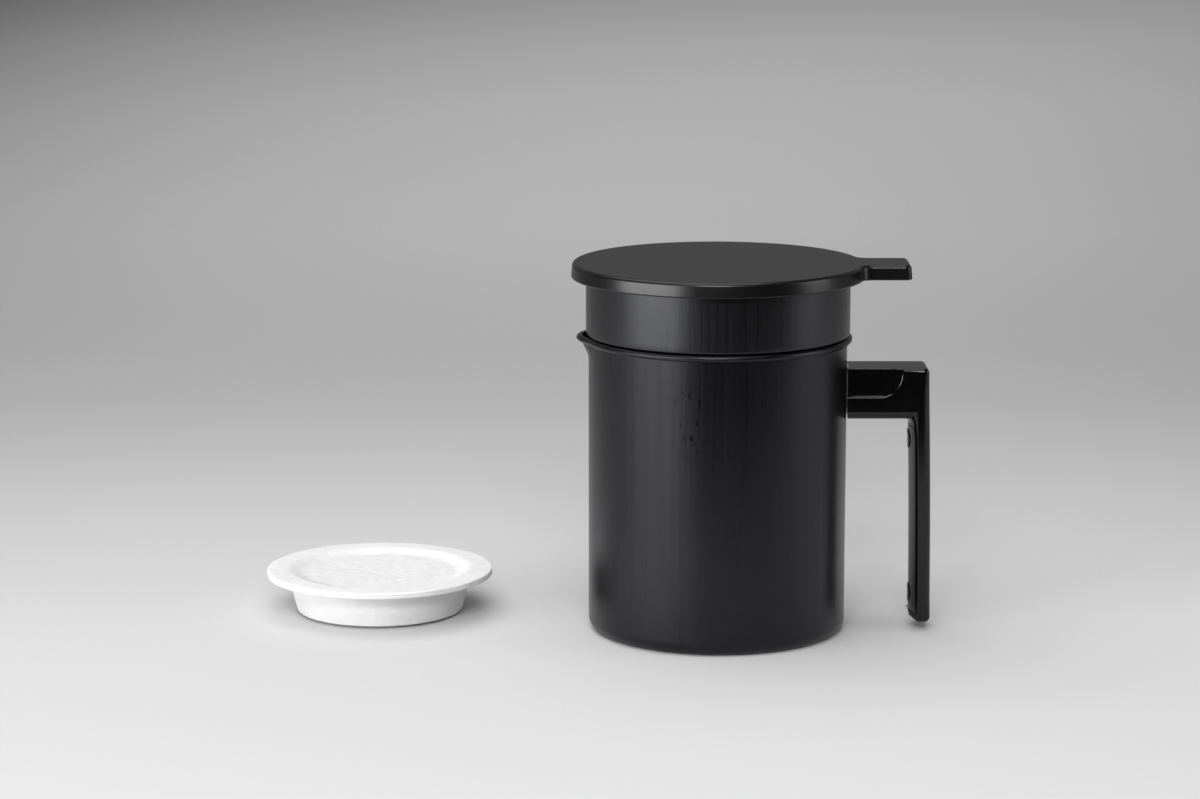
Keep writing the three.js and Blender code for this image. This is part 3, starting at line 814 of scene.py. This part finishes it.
def handle_outline():
    corner_z = ARM_TOP - OUTER_CORNER
    foot_z = FOOT + OUTER_CORNER
    chamfer_z = FOOT + FOOT_CHAMFER
    return [
        (ARM_ROOT, ARM_BOTTOM),
        (grip_inner(ARM_BOTTOM), ARM_BOTTOM),
        *grip_line(grip_inner, ARM_BOTTOM - 2.4, chamfer_z + 1.0),
        (grip_inner(chamfer_z), chamfer_z),
        (grip_inner(chamfer_z) + 3.7, FOOT),
        *arc(grip_outer(foot_z) - OUTER_CORNER, foot_z, OUTER_CORNER, -90, 0, 8),
        *grip_line(grip_outer, foot_z, corner_z)[1:-1],
        *arc(grip_outer(corner_z) - OUTER_CORNER, corner_z, OUTER_CORNER, 0, 90, 8),
        (ARM_ROOT, ARM_TOP),
    ]


def cross_prism(name, outline, low, high):
    """An outline in the XZ plane, in millimetres, filled and given thickness along Y."""
    piece = draw(name, [(x * MM, low * MM, z * MM) for x, z in outline], closes=True)
    bpy.ops.mesh.edge_face_add()
    bpy.ops.mesh.extrude_region_move(TRANSFORM_OT_translate={"value": (0, (high - low) * MM, 0)})
    bpy.ops.mesh.select_all(action="SELECT")
    bpy.ops.mesh.normals_make_consistent(inside=False)
    return piece


# %% [markdown]
# The rims of the L are rounded: softly under the arm and down the grip's outer side, more
# tightly on top and at the foot. The grip's inner side is crowned for the fingers. One bevel
# has one radius, so the L is extruded in thin slices instead, and each slice's corners are
# moved in along the outline's normal by as much as the rounding at that place asks.

# %% Slices and their roundings
SOFT_EDGE = 3.7
TIGHT_EDGE = 2.1
ROUND_SLICES = 8
SLICE = 0.1
CROWN_SLOPE = 0.36
CROWN_RIDGE = 2.8

# How far each slice's corner on the crowned side lies in from the rim and from the side
CROWN_STEPS = [
    (3.85, 0.0),
    (3.45, 0.22),
    (3.08, 0.46),
    (2.76, 0.78),
    (2.52, 1.2),
    (1.46, 4.35),
    (0.66, 6.9),
    (0.23, 8.6),
    (0.0, 10.25),
]


def crown(y):
    """How far the grip's inner face lies back at this distance from its middle."""
    return CROWN_SLOPE * (math.hypot(y, CROWN_RIDGE) - CROWN_RIDGE)


def round_rim(radius, near):
    """On the slice with this number: how far in from the rim and from the side it lies."""
    turn = math.pi / 2 * near / ROUND_SLICES
    return radius * (1 - math.sin(turn)), radius * (1 - math.cos(turn))


SOFT_RUN = 12
ON_FACE = 0.05
GRIP_MIDDLE = 50


def rim_step(x, z, near):
    """The same for a corner of the handle's outline: soft, tight or crowned by its place."""
    outer_run = min(max(min(ARM_TOP - 2.4 - z, z - FOOT - 2.4) / SOFT_RUN, 0), 1)
    crown_run = min(max(min(z - FOOT - FOOT_CHAMFER, ARM_BOTTOM - 1.2 - z), 0), 1)
    if x > grip_outer(z) - ON_FACE:
        return round_rim(TIGHT_EDGE + (SOFT_EDGE - TIGHT_EDGE) * outer_run, near)
    if x < grip_inner(z) + ON_FACE and z < ARM_BOTTOM + 1:
        plain = round_rim(SOFT_EDGE if z > GRIP_MIDDLE else TIGHT_EDGE, near)
        return [a + (b - a) * crown_run for a, b in zip(plain, CROWN_STEPS[near])]
    return round_rim(TIGHT_EDGE, near)


def inward(outline):
    """For each point of an anticlockwise outline, the step that insets both its edges by one."""
    steps = []
    for i, (x, z) in enumerate(outline):
        before = outline[i - 1]
        after = outline[(i + 1) % len(outline)]
        first = Vector((before[1] - z, x - before[0])).normalized()
        second = Vector((z - after[1], after[0] - x)).normalized()
        middle = (first + second).normalized()
        steps.append(middle / middle.dot(first))
    return steps


def sliced_prism(name, outline, slices, place):
    """An outline in the XZ plane, raised in thin slices whose corners are then set one by one."""
    piece = cross_prism(name, outline, 0, SLICE)
    for i in range(1, slices):
        select_edges(piece, lambda a, b: min(a.y, b.y) > SLICE * i - TOUCH)
        bpy.ops.mesh.extrude_region_move(TRANSFORM_OT_translate={"value": (0, SLICE * MM, 0)})
    bpy.ops.object.mode_set(mode="OBJECT")
    for v in piece.data.vertices:
        x, y, z = v.co / MM
        corner = min(range(len(outline)), key=lambda i: math.dist(outline[i], (x, z)))
        v.co = Vector(place(corner, round(y / SLICE))) * MM
    bpy.ops.object.mode_set(mode="EDIT")
    bpy.ops.mesh.select_all(action="SELECT")
    bpy.ops.mesh.normals_make_consistent(inside=False)
    return piece


# %% [markdown]
# With these helpers the L is raised. Its end towards the can follows the can's wall with a small
# gap, and that saddle is cut with a plain cylinder, which gives the true curve at once.

# %% The handle's body
SLICES = 2 * ROUND_SLICES + 1
handle_shape = handle_outline()
moves = inward(handle_shape)


def place_handle(corner, level):
    x, z = handle_shape[corner]
    inset, run = rim_step(x, z, min(level, SLICES - level))
    side = -1 if level < SLICES / 2 else 1
    return x + moves[corner].x * inset, side * (HALF_WIDTH - run), z + moves[corner].y * inset


handle = sliced_prism("handle_moulding", handle_shape, SLICES, place_handle)
SADDLE_GAP = 0.7
OVER = ARM_TOP + 5
combine(handle, puck("saddle", CAN_R + SADDLE_GAP, 0, OVER, 192), "DIFFERENCE")

# %% [markdown]
# The sunk panel on each side of the arm is one cutter. It is sliced as the handle is, and each
# slice is a little larger than the last, so that what it leaves is the sloped ledge. An inset
# could sink the panel too, but would give its slope only one step.

# %% The sunk panels
PANEL_START = 47
PANEL_HEIGHT = 10.95
PANEL_DEPTH = 1.0
BEND_X = CAN_R + 13.6
BEND_R = 9.6
STEEP = 76


def panel_outline(grow):
    """The sunk panel's edge, from the can along the ledge, round its bend and up past the top."""
    floor_z = ARM_BOTTOM + PANEL_HEIGHT - grow
    radius = BEND_R + grow
    curve = arc(BEND_X, floor_z + radius, radius, -90, STEEP - 90, 18)
    end_x, end_z = curve[-1]
    over_x = end_x + (OVER - end_z) / math.tan(math.radians(STEEP))
    ledge = [(PANEL_START, floor_z), (BEND_X - 1.5, floor_z), *curve]
    return [*ledge, (over_x, OVER), (PANEL_START, OVER)]


# The ledge's slope, as steps out from the arm's side and outwards from the panel's edge
LEDGE = [(-PANEL_DEPTH, 0.0), (-0.35, 0.56), (-0.15, 0.78), (-0.03, 1.05), (0.3, 2.2)]


def place_panel(corner, level, side):
    out, grow = LEDGE[level]
    x, z = panel_outline(grow)[corner]
    return x, side * (HALF_WIDTH + out), z


for side in (1, -1):
    cutter = sliced_prism(
        "panel",
        panel_outline(0),
        len(LEDGE) - 1,
        lambda corner, level: place_panel(corner, level, side),
    )
    combine(handle, cutter, "DIFFERENCE")


def on_panel_brow(start, end):
    """The edge where a sunk panel runs out into the arm's top."""
    panel_y = HALF_WIDTH - PANEL_DEPTH
    at_floor = all(abs(abs(point.y) - panel_y) < 2 * TOUCH for point in (start, end))
    return at_floor and min(start.z, end.z) > ARM_TOP - 0.6


select_edges(handle, on_panel_brow)
print("edges of the panels' brows:", handle.data.total_edge_sel)
bpy.ops.mesh.bevel(offset=0.3 * MM, segments=3, profile=0.5, affect="EDGES")

# %% [markdown]
# Inside, the arm is hollow for the bracket, a stepped hole from below takes the bracket's screw,
# and the grip has a channel for its liner. All three are simple solids and are cut out.

# %% The handle's hollows
HOLLOW_HALF = 8.0
HOLLOW_END = 82.6
hollow = slab(
    "arm_hollow",
    (50, -HOLLOW_HALF, ARM_BOTTOM + 3.5),
    (HOLLOW_END, HOLLOW_HALF, ARM_TOP - 2.6),
)
combine(handle, hollow, "DIFFERENCE")
SCREW_X = CAN_R + 13.5
SHANK_HOLE = (2.3, 105.0)
HEAD_HOLE = (4.1, ARM_BOTTOM + 2.0)
for radius, top in (SHANK_HOLE, HEAD_HOLE):
    hole = puck("hole", radius, ARM_BOTTOM - 5, top, 32)
    bpy.ops.mesh.select_all(action="SELECT")
    bpy.ops.transform.translate(value=(SCREW_X * MM, 0, 0))
    combine(handle, hole, "DIFFERENCE")
LINER_LOW = 8.6
LINER_HIGH = 92.6
LINER_DEPTH = 4.0
LINER_HALF = 6.7
LINER_PLAY = 0.3
channel_low = LINER_LOW - LINER_PLAY
channel_high = LINER_HIGH + LINER_PLAY
channel_half = LINER_HALF + LINER_PLAY
channel = [
    *grip_line(grip_inner, channel_low, channel_high, 14, LINER_DEPTH + LINER_PLAY),
    *grip_line(grip_inner, channel_high, channel_low, 14, -5.0),
]
combine(handle, cross_prism("channel", channel, -channel_half, channel_half), "DIFFERENCE")
finish_shape(handle, glossy, "pot", ["handle_shell"], 30, True)

# %% [markdown]
# A liner closes the grip's channel on the inner side. It is built in slices too, so that it
# follows the grip's crown. Two screws go through it, and each has a stepped seat. The seat is cut
# with one stepped cutter: three cutters one after another would leave slivers where they meet.

# %% The liner
liner_shape = [
    *grip_line(grip_inner, LINER_LOW, LINER_HIGH, 14, LINER_DEPTH),
    *grip_line(grip_inner, LINER_HIGH, LINER_LOW, 14, 0.0),
]
LINER_LEVELS = (-LINER_HALF, -5.0, -3.4, -1.8, 0.0, 1.8, 3.4, 5.0, LINER_HALF)


def place_liner(corner, level):
    x, z = liner_shape[corner]
    y = LINER_LEVELS[level]
    showing = corner >= len(liner_shape) / 2
    return x + (crown(y) if showing else 0), y, z


liner = sliced_prism("grip_liner_strip", liner_shape, len(LINER_LEVELS) - 1, place_liner)
PLUGS = {"lower": 15.9, "upper": 86.6}


def lay_along_x(piece, x, z):
    """Turns a piece made on the upright axis so that its height runs along +X."""
    bpy.ops.object.mode_set(mode="OBJECT")
    for v in piece.data.vertices:
        v.co = Vector((v.co.z + x * MM, v.co.y, -v.co.x + z * MM))
    bpy.ops.object.mode_set(mode="EDIT")
    bpy.ops.mesh.select_all(action="SELECT")


# The seat of one cap, of the screw's head and of its shank, as one stepped cutter
CAP_SEAT = [(0, -5), (4.62, -5), (4.62, 1.5)]
SCREW_SEAT = [(3.3, 1.5), (3.3, 3.4), (1.8, 3.4), (1.8, 9), (0, 9)]
for z in PLUGS.values():
    seat = spin("seat", CAP_SEAT + SCREW_SEAT, 64)
    lay_along_x(seat, grip_inner(z), z)
    combine(liner, seat, "DIFFERENCE")
finish_shape(liner, glossy, "pot", ["grip_liner"], 30, True)

# %% [markdown]
# Each screw is covered with a round cap that stands a little proud. It is a spun cushion, and
# after the spin its face is moved back onto the crown, so that it stands out evenly all round.

# %% The caps
CAP_PROUD = 0.4
CAP_R = 4.6
CAP_THICK = 1.2
cap_face = [(radius * 0.5, -CAP_PROUD) for radius in range(8)]
cap_rim = [(3.8, -0.36), (4.1, -0.27), (4.35, -0.14), (4.52, 0.02), (CAP_R, 0.2)]
cap_profile = [*cap_face, *cap_rim, (CAP_R, CAP_THICK), (0, CAP_THICK)]
for name, z in PLUGS.items():
    plug = spin("grip_cap_" + name, cap_profile, 64)
    lay_along_x(plug, grip_inner(z), z)
    bpy.ops.object.mode_set(mode="OBJECT")
    for v in plug.data.vertices:
        if v.co.x / MM < grip_inner(z) + 0.3:
            v.co.x += (crown(v.co.y / MM) + grip_inner(v.co.z / MM) - grip_inner(z)) * MM
    bpy.ops.object.mode_set(mode="EDIT")
    finish_shape(plug, glossy, "pot", ["grip_plug_" + name], 35)

# %% [markdown]
# The cartridge's cup is pressed felt with a wide flange. It is spun from a section that is cut
# finely, and then every corner is moved a little by smooth noise, because pressed felt is never
# quite even. A Displace modifier would do the same, but it couldn't hold the flat bottom.

# %% The cartridge's cup
CART_X = -153.4
CART_Y = 30.9
CART_TOP = 20.0
SHEET_THICK = 1.2
CUP_WALL = 1.8
FLANGE_R = 51.5
CUP_MOUTH = 42
CUP_FOOT = 38
flange_top = CART_TOP - SHEET_THICK
flange_low = flange_top - 1.75


def fine(points, step):
    """The same line with extra points, so that no stretch is longer than the step."""
    made = [points[0]]
    for (x0, z0), (x1, z1) in zip(points, points[1:]):
        count = max(1, math.ceil(math.hypot(x1 - x0, z1 - z0) / step))
        for i in range(1, count + 1):
            made.append((x0 + (x1 - x0) * i / count, z0 + (z1 - z0) * i / count))
    return made


def put_cartridge(piece, amount, side_amount):
    """Moves the piece to the cartridge's place and makes its felt uneven."""
    bpy.ops.object.mode_set(mode="OBJECT")
    top = max(v.co.z for v in piece.data.vertices)
    low = min(v.co.z for v in piece.data.vertices)
    for v in piece.data.vertices:
        broad = noise.noise(v.co * 60)
        close = noise.noise(v.co * 260)
        crumple = noise.noise(v.co * 700)
        radius = math.hypot(v.co.x, v.co.y)
        lift = (broad * 0.5 + close * 0.35 + crumple * 0.2) * amount
        if radius > 0.001:
            push = (broad * 0.6 + close * 0.4) * side_amount / radius
            v.co.x *= 1 + push
            v.co.y *= 1 + push
        v.co.z = min(max(v.co.z + lift, low), top)
    for v in piece.data.vertices:
        v.co.x += CART_X * MM
        v.co.y += CART_Y * MM
    bpy.ops.object.mode_set(mode="EDIT")


cup_profile = [
    (0, 0),
    (31, 0),
    (32.0, 0.8),
    (34.0, 1.25),
    *arc(CUP_FOOT - 0.7, 2.0, 0.7, -90, 0, 5),
    *arc(CUP_MOUTH + 0.4, flange_low - 0.4, 0.4, 180, 90, 4),
    *arc(FLANGE_R - 0.6, flange_low + 0.6, 0.6, -90, 0, 6),
    *arc(FLANGE_R - 0.12, flange_top - 0.12, 0.12, 0, 90, 2),
    (CUP_MOUTH - CUP_WALL, flange_top),
    (CUP_FOOT - CUP_WALL, CUP_WALL),
    (0, CUP_WALL),
]
cup = spin("cartridge_cup_felt", fine(cup_profile, 1.4), 200)
put_cartridge(cup, 0.12 * MM, 0.25 * MM)
# The cup gets the darker felt, whose colour carries painted shade
finish_shape(cup, cup_felt_painted_shade, "cartridge", ["cartridge_cup"], 60)

# %% [markdown]
# A second sheet is welded to the flange and dips to a dish with a wide soft mouth. It is made as
# the cup is, with a little more unevenness, because nothing presses it flat.

# %% The cartridge's top sheet
DISH_FOOT = 34.0
DISH_MOUTH = 42.6
DISH_DEPTH = 1.9
dish = CART_TOP - DISH_DEPTH
dish_wall = []
for share in [i / 10 for i in range(11)]:
    rise = DISH_DEPTH * share * share * (3 - 2 * share)
    dish_wall.append((DISH_FOOT + (DISH_MOUTH - DISH_FOOT) * share, dish + rise))
sheet_profile = [
    (0, dish),
    *dish_wall,
    *arc(FLANGE_R - 0.7, CART_TOP - 0.7, 0.7, 90, 0, 6),
    *arc(FLANGE_R - 0.12, flange_top + 0.12, 0.12, 0, -90, 2),
    (CUP_MOUTH - CUP_WALL, flange_top),
    (DISH_FOOT - 1, dish - SHEET_THICK),
    (0, dish - SHEET_THICK),
]
sheet = spin("cartridge_top_felt", fine(sheet_profile, 1.0), 220)
put_cartridge(sheet, 0.45 * MM, 0.2 * MM)
finish_shape(sheet, sheet_felt, "cartridge", ["cartridge_top_sheet"], 60)

# %% [markdown]
# The bracket, the screws, the nut and the bed of granules are right as they come from the
# frame. They only get their finishes.

# %% Finishes of the frame's own pieces
STEEL_NODES = (
    "handle_bracket",
    "bracket_screw",
    "bracket_nut",
    "grip_screw_lower",
    "grip_screw_upper",
)
for name, finish in [*((name, steel) for name in STEEL_NODES), ("filter_bed", granules)]:
    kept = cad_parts[name]
    kept.data.materials.clear()
    kept.data.materials.append(finish.material)
    print(name, "keeps its shape and gets", finish.material.name)
